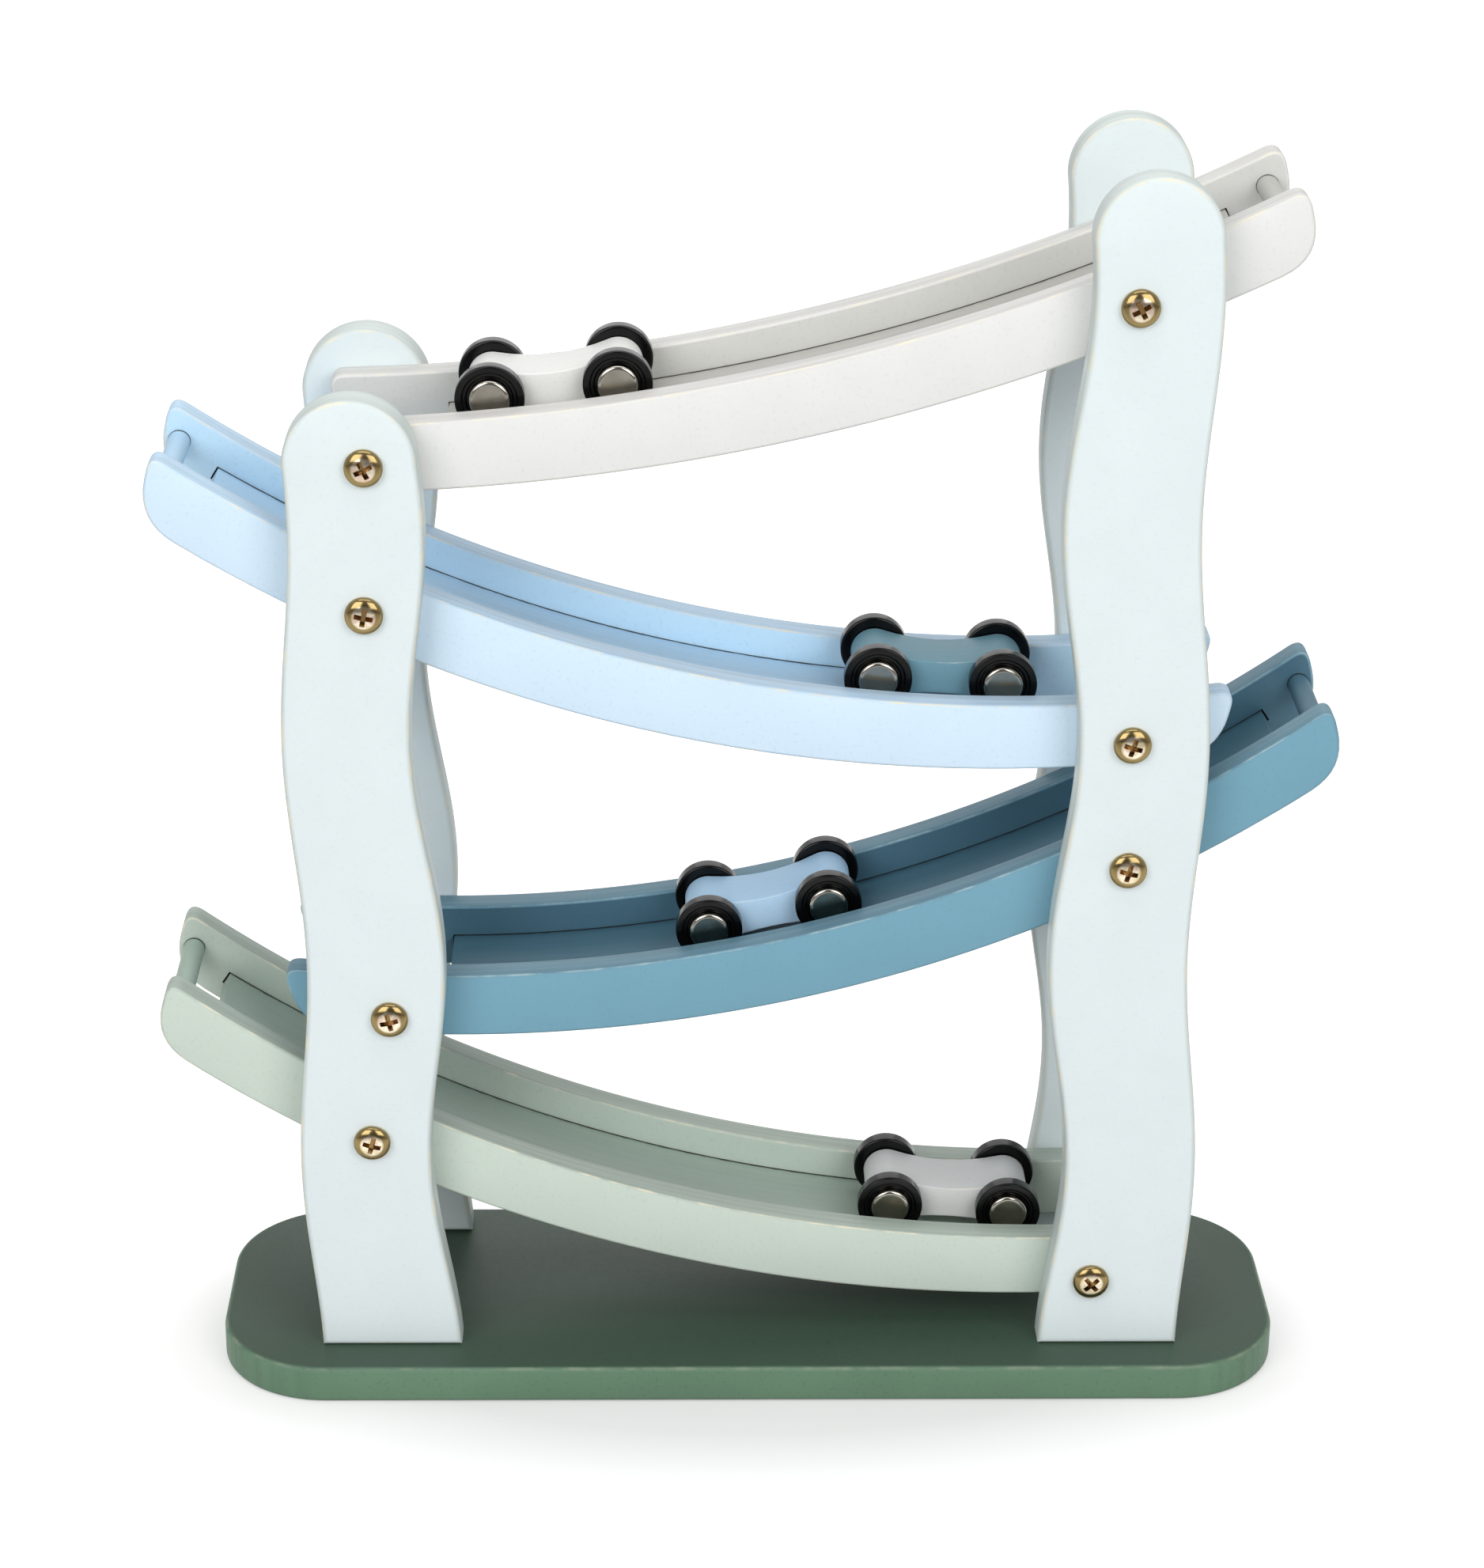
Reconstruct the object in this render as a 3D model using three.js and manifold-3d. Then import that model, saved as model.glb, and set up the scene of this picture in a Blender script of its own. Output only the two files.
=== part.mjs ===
// Wooden racing track: four curved ramps zig-zag down between two pairs of wavy posts on a rounded base,
// with one small car on each ramp. Millimetres, +Z up, origin at the centre of the base's underside,
// +X to the right and -Y to the front.
import * as THREE from 'three';
import { mergeVertices } from 'three/addons/utils/BufferGeometryUtils.js';
import Module from 'manifold-3d';

const wasm = await Module();
wasm.setup();

// Clearance round every piece that seats in a groove or a hole, and the reach of a cut past a face.
const FIT = 0.3;
const OVERCUT = 1;

const BASE = {
  length: 240,
  thickness: 8.7,
  corner: 24.5,
  edge: 1.2,
  frontMargin: 10.2,
  backMargin: 3,
  screwHole: 2.1,
  countersink: 4.2,
};

// A post's two edges wave with one pitch. Its crest is the height where both posts lean inwards most.
const POST = {
  thickness: 8.7,
  spread: 82.8,
  footWidth: 30.5,
  headWidth: 27.3,
  wavePitch: 100,
  waveCrest: 95,
  outerWave: 1.6,
  innerWave: 2.5,
  lean: -0.015,
};
const POST_SIDES = [
  { name: 'left', side: -1, headroom: 13.8 },
  { name: 'right', side: 1, headroom: 27.1 },
];

const RAIL = { thickness: 6.7, height: 15.2, topRound: 2, bottomRound: 9 };
const CHANNEL = 30;
const FLOOR = { drop: 7.2, thickness: 3, tongue: 2, upperInset: 16.5 };
const DOWEL = { radius: 2.4, inset: 6.5, drop: 6.5, seat: 3.5 };
const SCREW = {
  headRadius: 4.05,
  headHeight: 2.6,
  crownRadius: 2.2,
  crownHeight: 2.3,
  shoulderRadius: 3.6,
  shoulderHeight: 1.5,
  sideHeight: 0.5,
  shankRadius: 1.6,
  drop: 6.2,
  woodAhead: 1,
};

const CAR = { wheelbase: 27.1, width: 14.4, endRadius: 5.2, saddleAngle: 16, archAngle: 11 };
const WHEEL = { radius: 7.4, width: 3.6, gap: 0.4, edge: 0.5, rimRadius: 6.3, dishRadius: 5.5, dish: 0.8 };
const AXLE = { radius: 1.5, capRadius: 4.35, discRadius: 3.45, proud: 0.8, dome: 0.6 };

// Facets of a round end, an eased edge, a post's wavy edge, a screw, a wheel and an axle. A long arc gets
// twice as many as a round end.
const FACETS = { round: 6, edge: 2, wave: 20, screw: 12, wheel: 12, axle: 12 };

const COLOUR = {
  white: 0xededeb,
  lightBlue: 0xbfddf8,
  teal: 0x76a5b8,
  sage: 0xc6d2c6,
  darkGreen: 0x4f6155,
  mint: 0xe4eeee,
  greyTeal: 0x8fa9ac,
  lightGrey: 0xc9cccb,
  rubber: 0x141414,
  steel: 0xb9b6ae,
  zinc: 0xb89a62,
};

// A rail's top edge is an arc of the given radius. Places along it are arc lengths from its lowest point,
// growing uphill; uphill says on which side of X the ramp climbs. height is that of the lowest point over
// the base's top. The floor leaves the drop gap open before the rails' lower end. The screws' shifts are
// from the left and the right post's middle.
const LONG = { radius: 321, length: 241 };
const RAMPS = [
  {
    radius: 465, length: 212, lower: 8.3, lowX: -100.8, height: 214.1, uphill: 1, dropGap: 26,
    screwShifts: [1.3, -5.8], carPlace: 58.2, colour: COLOUR.white, carColour: COLOUR.white,
  },
  {
    ...LONG, lower: -48.3, lowX: 54.7, height: 152.2, uphill: -1, dropGap: 42,
    screwShifts: [0.5, -3], carPlace: 14.6, colour: COLOUR.lightBlue, carColour: COLOUR.greyTeal,
  },
  {
    ...LONG, lower: -34.9, lowX: -68.6, height: 88.3, uphill: 1, dropGap: 36,
    screwShifts: [3.4, -2.6], carPlace: 73, colour: COLOUR.teal, carColour: COLOUR.lightBlue,
  },
  {
    ...LONG, lower: -34, lowX: 64.5, height: 22.6, uphill: -1, dropGap: 36,
    screwShifts: [-1.2, -6.3], carPlace: 18.9, colour: COLOUR.sage, carColour: COLOUR.lightGrey,
  },
];

// Depths measured from the tower's middle plane, which lies between the two rails of every ramp.
const RAIL_INNER = CHANNEL / 2;
const RAIL_OUTER = RAIL_INNER + RAIL.thickness;
const POST_OUTER = RAIL_OUTER + POST.thickness;
const SCREW_BITE = RAIL.thickness - FLOOR.tongue - FIT - SCREW.woodAhead;
const SCREW_LENGTH = POST.thickness + SCREW_BITE;
const BASE_DEPTH = 2 * POST_OUTER + BASE.frontMargin + BASE.backMargin;
const TOWER_SETBACK = (BASE.frontMargin - BASE.backMargin) / 2;

const PAINT = { roughness: 0.5, metalness: 0 };
const METAL = { roughness: 0.25, metalness: 1 };
const RUBBER = { roughness: 0.6, metalness: 0 };

// A geometry as a solid: corners at one place become one, and triangles without area go.
function solid(geometry) {
  geometry.deleteAttribute('normal');
  geometry.deleteAttribute('uv');
  const merged = mergeVertices(geometry);
  const corners = merged.index.array;
  const triangles = [];
  for (let i = 0; i < corners.length; i += 3) {
    const [a, b, c] = corners.slice(i, i + 3);
    if (a !== b && b !== c && c !== a) triangles.push(a, b, c);
  }
  return new wasm.Manifold(new wasm.Mesh({
    numProp: 3,
    vertProperties: new Float32Array(merged.attributes.position.array),
    triVerts: new Uint32Array(triangles),
  }));
}

function namedMesh(name, body, colour, finish) {
  const { vertProperties, triVerts } = body.getMesh();
  const geometry = new THREE.BufferGeometry();
  geometry.setAttribute('position', new THREE.BufferAttribute(vertProperties, 3));
  geometry.setIndex(new THREE.BufferAttribute(triVerts, 1));
  const mesh = new THREE.Mesh(geometry, new THREE.MeshStandardMaterial({ color: colour, ...finish }));
  mesh.name = name;
  return mesh;
}

// A shape drawn in X and Z, as thick as given from the front face at the given depth.
function board(shape, front, thickness) {
  const geometry = new THREE.ExtrudeGeometry(shape, {
    depth: thickness, bevelEnabled: false, curveSegments: FACETS.round,
  });
  geometry.rotateX(Math.PI / 2);
  geometry.translate(0, front + thickness, 0);
  return solid(geometry);
}

// A rod along Y between two depths.
function rod(at, front, back, radius, facets) {
  const geometry = new THREE.CylinderGeometry(radius, radius, back - front, facets);
  geometry.translate(at.x, (front + back) / 2, at.y);
  return solid(geometry);
}

// A piece turned about Y from rows of radius and depth, front to back.
function turned(rows, facets) {
  const profile = rows.map(([radius, depth]) => new THREE.Vector2(radius, depth));
  return solid(new THREE.LatheGeometry(profile, facets));
}

function rampAngle(ramp, place) {
  return -Math.PI / 2 + ramp.uphill * place / ramp.radius;
}

function rampCentre(ramp) {
  return new THREE.Vector2(ramp.lowX, ramp.height + ramp.radius);
}

// A point of the ramp's plane: place along the rail's top edge, and depth square to it.
function rampPoint(ramp, place, depth) {
  const angle = rampAngle(ramp, place);
  const reach = ramp.radius + depth;
  const centre = rampCentre(ramp);
  return new THREE.Vector2(centre.x + reach * Math.cos(angle), centre.y + reach * Math.sin(angle));
}

function upperEnd(ramp) {
  return ramp.lower + ramp.length;
}

// A ramp's screw by the middle of a post keeps its drop under the rail's top edge.
function screwPoint(ramp, postIndex) {
  const x = POST_SIDES[postIndex].side * POST.spread + ramp.screwShifts[postIndex];
  const reach = ramp.radius + SCREW.drop;
  const centre = rampCentre(ramp);
  const across = x - centre.x;
  return new THREE.Vector2(x, centre.y - Math.sqrt(reach * reach - across * across));
}

// The band between two depths and two places of a ramp.
function bandShape(ramp, from, to, top, bottom) {
  const centre = rampCentre(ramp);
  const start = rampAngle(ramp, from);
  const end = rampAngle(ramp, to);
  const shape = new THREE.Shape();
  shape.absarc(centre.x, centre.y, ramp.radius + top, start, end, ramp.uphill < 0);
  shape.absarc(centre.x, centre.y, ramp.radius + bottom, end, start, ramp.uphill > 0);
  shape.closePath();
  return shape;
}

// A rail is its top edge swept straight down, square to its chord, with rounded ends.
function railShape(ramp) {
  const centre = rampCentre(ramp);
  const upper = upperEnd(ramp);
  const down = rampPoint(ramp, (ramp.lower + upper) / 2, 0).sub(centre).normalize();
  const below = (point, drop) => point.clone().addScaledVector(down, drop);
  const low = rampPoint(ramp, ramp.lower, 0);
  const high = rampPoint(ramp, upper, 0);
  const bottomCentre = below(centre, RAIL.height);
  const sideEnd = RAIL.height - RAIL.bottomRound;
  const topStart = rampPoint(ramp, ramp.lower + RAIL.topRound, 0);
  const bottomStart = below(rampPoint(ramp, upper - RAIL.bottomRound, 0), RAIL.height);
  const round = (corner, end) => shape.quadraticCurveTo(corner.x, corner.y, end.x, end.y);
  const line = end => shape.lineTo(end.x, end.y);
  const arc = (middle, from, to, clockwise) => shape.absarc(
    middle.x, middle.y, ramp.radius, rampAngle(ramp, from), rampAngle(ramp, to), clockwise);

  const shape = new THREE.Shape();
  arc(centre, ramp.lower + RAIL.topRound, upper - RAIL.topRound, ramp.uphill < 0);
  round(high, below(high, RAIL.topRound));
  line(below(high, sideEnd));
  round(below(high, RAIL.height), bottomStart);
  arc(bottomCentre, upper - RAIL.bottomRound, ramp.lower + RAIL.bottomRound, ramp.uphill > 0);
  round(below(low, RAIL.height), below(low, sideEnd));
  line(below(low, RAIL.topRound));
  round(low, topStart);
  return shape;
}

// A post narrows from foot to head between two waving edges, under a round top.
function postShape({ side }, top) {
  const shoulder = top - POST.headWidth / 2;
  const edge = (height, half, wave) => {
    const width = POST.footWidth + (POST.headWidth - POST.footWidth) * height / shoulder;
    const sway = wave * Math.cos(2 * Math.PI * (height - POST.waveCrest) / POST.wavePitch);
    return side * (POST.spread + half * width / 2 - sway) + POST.lean * height;
  };
  const heights = Array.from({ length: FACETS.wave + 1 }, (_, i) => shoulder * i / FACETS.wave);
  const outer = heights.map(height => new THREE.Vector2(edge(height, 1, POST.outerWave), height));
  const inner = heights.map(height => new THREE.Vector2(edge(height, -1, POST.innerWave), height));
  const [left, right] = side < 0 ? [outer, inner] : [inner, outer];
  const leftTop = left.at(-1);
  const rightTop = right.at(-1);

  const shape = new THREE.Shape(right);
  shape.absarc((leftTop.x + rightTop.x) / 2, shoulder, (rightTop.x - leftTop.x) / 2, 0, Math.PI, false);
  left.reverse().forEach(point => shape.lineTo(point.x, point.y));
  return shape;
}

// A car's side: round ends about the axles, a hollow saddle above and a flatter arch below.
function carShape() {
  const half = CAR.wheelbase / 2;
  const saddle = THREE.MathUtils.degToRad(CAR.saddleAngle);
  const arch = THREE.MathUtils.degToRad(CAR.archAngle);
  const waist = angle => (CAR.endRadius - half * Math.sin(angle)) / Math.cos(angle);
  const quarter = Math.PI / 2;

  const shape = new THREE.Shape();
  shape.absarc(half, 0, CAR.endRadius, quarter + saddle, -quarter - arch, true);
  shape.quadraticCurveTo(
    0, -waist(arch), CAR.endRadius * Math.sin(arch) - half, -CAR.endRadius * Math.cos(arch));
  shape.absarc(-half, 0, CAR.endRadius, -quarter + arch, quarter - saddle - 2 * Math.PI, true);
  shape.quadraticCurveTo(
    0, waist(saddle), half - CAR.endRadius * Math.sin(saddle), CAR.endRadius * Math.cos(saddle));
  return shape;
}

// A pan-head screw with its seat at depth 0, its head to the front and its shank to the back.
function screwSolid() {
  return turned([
    [0, -SCREW.headHeight],
    [SCREW.crownRadius, -SCREW.crownHeight],
    [SCREW.shoulderRadius, -SCREW.shoulderHeight],
    [SCREW.headRadius, -SCREW.sideHeight],
    [SCREW.headRadius, 0],
    [SCREW.shankRadius, 0],
    [SCREW.shankRadius, SCREW_LENGTH],
    [0, SCREW_LENGTH],
  ], FACETS.screw);
}

// The wheel's hub side is at depth 0 and its dished side faces the back.
function wheelSolid() {
  const bore = AXLE.radius + FIT;
  return turned([
    [bore, 0],
    [WHEEL.radius - WHEEL.edge, 0],
    [WHEEL.radius, WHEEL.edge],
    [WHEEL.radius, WHEEL.width - WHEEL.edge],
    [WHEEL.radius - WHEEL.edge, WHEEL.width],
    [WHEEL.rimRadius, WHEEL.width],
    [WHEEL.dishRadius, WHEEL.width - WHEEL.dish],
    [bore, WHEEL.width - WHEEL.dish],
    [bore, 0],
  ], FACETS.wheel);
}

// An axle with a domed cap on each end, which sits in the wheel's dish.
function axleSolid() {
  const wheelFace = CAR.width / 2 + WHEEL.gap + WHEEL.width;
  const seat = wheelFace - WHEEL.dish + FIT;
  const end = wheelFace + AXLE.proud;
  const halfProfile = [
    [AXLE.radius, seat],
    [AXLE.capRadius, seat],
    [AXLE.capRadius, end - AXLE.dome],
    [AXLE.discRadius, end],
    [0, end],
  ];
  const mirrored = halfProfile.map(([radius, depth]) => [radius, -depth]).reverse();
  return turned([...mirrored, ...halfProfile], FACETS.axle);
}

function buildBase() {
  const x = BASE.length / 2 - BASE.corner;
  const y = BASE_DEPTH / 2 - BASE.corner;
  const quarter = Math.PI / 2;
  const shape = new THREE.Shape();
  shape.absarc(x, y, BASE.corner, 0, quarter);
  shape.absarc(-x, y, BASE.corner, quarter, 2 * quarter);
  shape.absarc(-x, -y, BASE.corner, 2 * quarter, 3 * quarter);
  shape.absarc(x, -y, BASE.corner, 3 * quarter, 4 * quarter);
  const geometry = new THREE.ExtrudeGeometry(shape, {
    depth: BASE.thickness - 2 * BASE.edge,
    bevelThickness: BASE.edge,
    bevelSize: BASE.edge,
    bevelOffset: -BASE.edge,
    bevelSegments: FACETS.edge,
    curveSegments: FACETS.round,
  });
  geometry.translate(0, 0, BASE.edge);
  let body = solid(geometry);

  // One countersunk hole from below under the middle of each post's foot.
  const hole = new THREE.LatheGeometry([
    new THREE.Vector2(0, -OVERCUT),
    new THREE.Vector2(BASE.countersink + OVERCUT, -OVERCUT),
    new THREE.Vector2(BASE.screwHole, BASE.countersink - BASE.screwHole),
    new THREE.Vector2(BASE.screwHole, BASE.thickness + OVERCUT),
    new THREE.Vector2(0, BASE.thickness + OVERCUT),
  ], FACETS.screw);
  const cutter = solid(hole.rotateX(Math.PI / 2));
  for (const { side } of POST_SIDES) {
    for (const depth of [-1, 1]) {
      const postMiddle = depth * (RAIL_OUTER + POST.thickness / 2) + TOWER_SETBACK;
      body = body.subtract(cutter.translate([side * POST.spread, postMiddle, 0]));
    }
  }
  return namedMesh('base', body, COLOUR.darkGreen, PAINT);
}

// Every post is drilled for its screws. Those of the front posts are pieces of their own.
function buildPosts(tower) {
  POST_SIDES.forEach((post, postIndex) => {
    const points = RAMPS.map(ramp => screwPoint(ramp, postIndex));
    const top = Math.max(...points.map(point => point.y)) + post.headroom;
    const shape = postShape(post, top);
    for (const [end, face] of [['front', -POST_OUTER], ['back', RAIL_OUTER]]) {
      let body = board(shape, face, POST.thickness);
      for (const point of points) {
        const hole = rod(point, face - OVERCUT, face + POST.thickness + OVERCUT,
          SCREW.shankRadius + FIT, FACETS.screw);
        body = body.subtract(hole);
      }
      tower.add(namedMesh(`post_${end}_${post.name}`, body, COLOUR.mint, PAINT));
    }
    points.forEach((point, rampIndex) => {
      const screw = namedMesh(`screw_${post.name}_${rampIndex + 1}`, screwSolid(), COLOUR.zinc, METAL);
      screw.position.set(point.x, -POST_OUTER, point.y);
      tower.add(screw);
    });
  });
}

// Two grooved rails, the floor board between them and the dowel that closes the upper end.
function buildRamp(tower, ramp, name) {
  const upper = upperEnd(ramp);
  const floorFrom = ramp.lower + ramp.dropGap;
  const floorTo = upper - FLOOR.upperInset;
  const floorBottom = FLOOR.drop + FLOOR.thickness;
  const floorHalf = RAIL_INNER + FLOOR.tongue;
  const floor = board(
    bandShape(ramp, floorFrom, floorTo, FLOOR.drop, floorBottom), -floorHalf, 2 * floorHalf);
  const groove = board(
    bandShape(ramp, floorFrom - FIT, floorTo + FIT, FLOOR.drop - FIT, floorBottom + FIT),
    -floorHalf - FIT, 2 * (floorHalf + FIT));

  const dowelPoint = rampPoint(ramp, upper - DOWEL.inset, DOWEL.drop);
  const dowelHalf = RAIL_INNER + DOWEL.seat;
  const dowel = rod(dowelPoint, -dowelHalf, dowelHalf, DOWEL.radius, FACETS.screw);
  const socketHalf = dowelHalf + FIT;
  const socket = rod(dowelPoint, -socketHalf, socketHalf, DOWEL.radius + FIT, FACETS.screw);

  const shape = railShape(ramp);
  for (const [end, side] of [['front', -1], ['back', 1]]) {
    const face = side < 0 ? -RAIL_OUTER : RAIL_INNER;
    let rail = board(shape, face, RAIL.thickness).subtract(groove).subtract(socket);
    const tip = side * (RAIL_OUTER - SCREW_BITE - FIT);
    const start = side * (RAIL_OUTER + OVERCUT);
    POST_SIDES.forEach((post, postIndex) => {
      const pilot = rod(screwPoint(ramp, postIndex), Math.min(tip, start), Math.max(tip, start),
        SCREW.shankRadius + FIT, FACETS.screw);
      rail = rail.subtract(pilot);
    });
    tower.add(namedMesh(`${name}_rail_${end}`, rail, ramp.colour, PAINT));
  }
  tower.add(namedMesh(`${name}_floor`, floor, ramp.colour, PAINT));
  tower.add(namedMesh(`${name}_dowel`, dowel, ramp.colour, PAINT));
}

// A car stands on its ramp's floor, turned about the centre of the ramp's arc to its place.
function buildCar(tower, ramp, name) {
  const centre = rampCentre(ramp);
  const half = CAR.wheelbase / 2;
  const axleReach = ramp.radius + FLOOR.drop - WHEEL.radius - FIT;
  const pivot = new THREE.Group();
  pivot.position.set(centre.x, 0, centre.y);
  pivot.rotation.y = -ramp.uphill * ramp.carPlace / ramp.radius;
  const car = new THREE.Group();
  car.position.z = -Math.sqrt(axleReach * axleReach - half * half);
  pivot.add(car);
  tower.add(pivot);

  let body = board(carShape(), -CAR.width / 2, CAR.width);
  for (const [place, x] of [['left', -half], ['right', half]]) {
    const reach = CAR.width / 2 + OVERCUT;
    const middle = new THREE.Vector2(x, 0);
    body = body.subtract(rod(middle, -reach, reach, AXLE.radius + FIT, FACETS.axle));
    const axle = namedMesh(`${name}_axle_${place}`, axleSolid(), COLOUR.steel, METAL);
    axle.position.x = x;
    car.add(axle);
    for (const [end, side] of [['front', -1], ['back', 1]]) {
      const wheel = namedMesh(`${name}_wheel_${end}_${place}`, wheelSolid(), COLOUR.rubber, RUBBER);
      wheel.position.set(x, side * (CAR.width / 2 + WHEEL.gap), 0);
      wheel.rotation.z = side < 0 ? Math.PI : 0;
      car.add(wheel);
    }
  }
  car.add(namedMesh(`${name}_body`, body, ramp.carColour, PAINT));
}

const track = new THREE.Group();
track.add(buildBase());
const tower = new THREE.Group();
tower.position.set(0, TOWER_SETBACK, BASE.thickness);
track.add(tower);
buildPosts(tower);
RAMPS.forEach((ramp, index) => {
  buildRamp(tower, ramp, `ramp_${index + 1}`);
  buildCar(tower, ramp, `car_${index + 1}`);
});

export default track;
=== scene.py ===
"""Wooden racing track: four painted ramps zig-zag down between wavy posts, with a small car on each ramp."""

import math

import bmesh
import bpy
import numpy as np
from mathutils import Matrix, Vector


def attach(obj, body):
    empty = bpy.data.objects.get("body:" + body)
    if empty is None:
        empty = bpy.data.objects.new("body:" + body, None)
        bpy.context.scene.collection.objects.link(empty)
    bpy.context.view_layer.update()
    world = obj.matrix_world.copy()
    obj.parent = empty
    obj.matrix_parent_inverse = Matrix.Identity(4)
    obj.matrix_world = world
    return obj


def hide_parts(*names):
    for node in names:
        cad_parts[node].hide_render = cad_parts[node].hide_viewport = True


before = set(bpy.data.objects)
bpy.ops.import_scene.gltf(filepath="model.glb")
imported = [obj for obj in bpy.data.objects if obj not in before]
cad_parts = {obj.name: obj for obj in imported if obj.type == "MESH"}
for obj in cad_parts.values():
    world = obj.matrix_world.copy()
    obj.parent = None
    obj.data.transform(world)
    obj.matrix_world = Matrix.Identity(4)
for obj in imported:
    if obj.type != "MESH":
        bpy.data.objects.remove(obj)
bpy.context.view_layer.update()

MM = 0.001

# Sizes in millimetres, in the frame's axes: +X along the base, -Y to the front, +Z up.
FIT = 0.3
BASE = dict(length=240, depth=74, thickness=8.7, corner=24.5, edge=1.2, screw_hole=2.1, countersink=4.2)
TOWER = dict(setback=3.6, rise=BASE["thickness"])
POST = dict(
    thickness=8.7, spread=82.8, foot_width=30.5, head_width=27.3, wave_pitch=100, wave_crest=95,
    outer_wave=1.6, inner_wave=2.5, lean=-0.015, edge=1.2,
)
HEADROOM = dict(left=13.8, right=27.1)
RAIL = dict(height=15.2, top_round=4.2, bottom_round=9, inner=15, outer=21.7, edge=0.7, sanded=0.07)
FLOOR = dict(
    drop=7.2, thickness=3, tongue=2, upper_inset=16.5, groove_over=0.35, groove_gap=0.09, edge=0.4,
)
DOWEL = dict(radius=2.4, inset=6.5, drop=6.5, seat=3.5, play=0.07, edge=0.4)
SCREW = dict(
    head_radius=4.05, head_height=2.6, side_height=1.0, shank_radius=1.6, length=12.1, drop=6.2,
    cross_span=4.7, cross_width=1.15, cross_depth=1.7, cross_over=0.5, cross_taper=0.55, cross_thinner=0.75,
    foot=0.3, shoulder_shade_start=0.56, shoulder_shade_run=0.1,
)
BASE_SCREW = dict(head_radius=3.9, sunk=0.3, shank_radius=1.9, length=8)
CAR = dict(wheelbase=27.1, width=14.4, end_radius=5.2, saddle_angle=16, arch_angle=11, edge=0.35)
WHEEL = dict(
    radius=7.4, width=3.6, gap=0.4, edge=0.6, bore=1.8, step_radius=5.95, step_depth=0.45,
    dish_radius=5.1, dish=0.8, slope=0.2, lip=0.4, joint=0.5, ease=0.22,
)
AXLE = dict(radius=1.5, cap_radius=4.35, disc_radius=3.45, proud=0.8, dome=0.6, step=0.25, sunk=0.08)
RAMPS = (
    dict(radius=465, length=212, lower=8.3, low_x=-100.8, height=214.1, uphill=1, drop_gap=26,
         screw_shifts=(1.3, -5.8), car_place=58.2),
    dict(radius=321, length=241, lower=-48.3, low_x=54.7, height=152.2, uphill=-1, drop_gap=42,
         screw_shifts=(0.5, -3), car_place=14.6),
    dict(radius=321, length=241, lower=-34.9, low_x=-68.6, height=88.3, uphill=1, drop_gap=36,
         screw_shifts=(3.4, -2.6), car_place=73),
    dict(radius=321, length=241, lower=-34, low_x=64.5, height=22.6, uphill=-1, drop_gap=36,
         screw_shifts=(-1.2, -6.3), car_place=18.9),
)
POST_OUTER = RAIL["outer"] + POST["thickness"]
ARC_STEPS = 140
ROUND_STEPS = 8
EASE_STEPS = 5
TURN_STEPS = 64
SHARP = math.radians(38)

# The camera stands a little left of the middle and looks down on the track.
CAMERA = dict(place=(-20.02, -798.27, 471.45), yaw=1.26, pitch=22.84, roll=-0.531, lens=90.3)


def linear(hex_colour, alpha=1.0):
    """An sRGB hex colour as linear light."""
    parts = [int(hex_colour[i:i + 2], 16) / 255 for i in (1, 3, 5)]
    return tuple(c / 12.92 if c <= 0.04045 else ((c + 0.055) / 1.055) ** 2.4 for c in parts) + (alpha,)


def add(tree, kind, inputs=None, **settings):
    """A node with its settings; an input is a value or the socket that feeds it.

    A Mix node's inputs go by number: 0 is the share, 2 and 3 are its numbers, 6 and 7 its colours.
    """
    node = tree.nodes.new(kind)
    for key, value in settings.items():
        setattr(node, key, value)
    for key, value in (inputs or {}).items():
        if isinstance(value, bpy.types.NodeSocket):
            tree.links.new(value, node.inputs[key])
        else:
            node.inputs[key].default_value = value
    return node


def per_mm(size):
    """The scale that makes a pattern repeat about every given number of millimetres."""
    return 1 / (size * MM)


def new_material(name, inputs):
    """A material with its one shader, and the Object coordinates that its patterns read."""
    material = bpy.data.materials.new(name)
    material.use_nodes = True
    tree = material.node_tree
    tree.nodes.clear()
    principled = add(tree, "ShaderNodeBsdfPrincipled", inputs)
    add(tree, "ShaderNodeOutputMaterial", {"Surface": principled.outputs[0]})
    coordinates = add(tree, "ShaderNodeTexCoord").outputs["Object"]
    return material, tree, principled, coordinates


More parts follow.
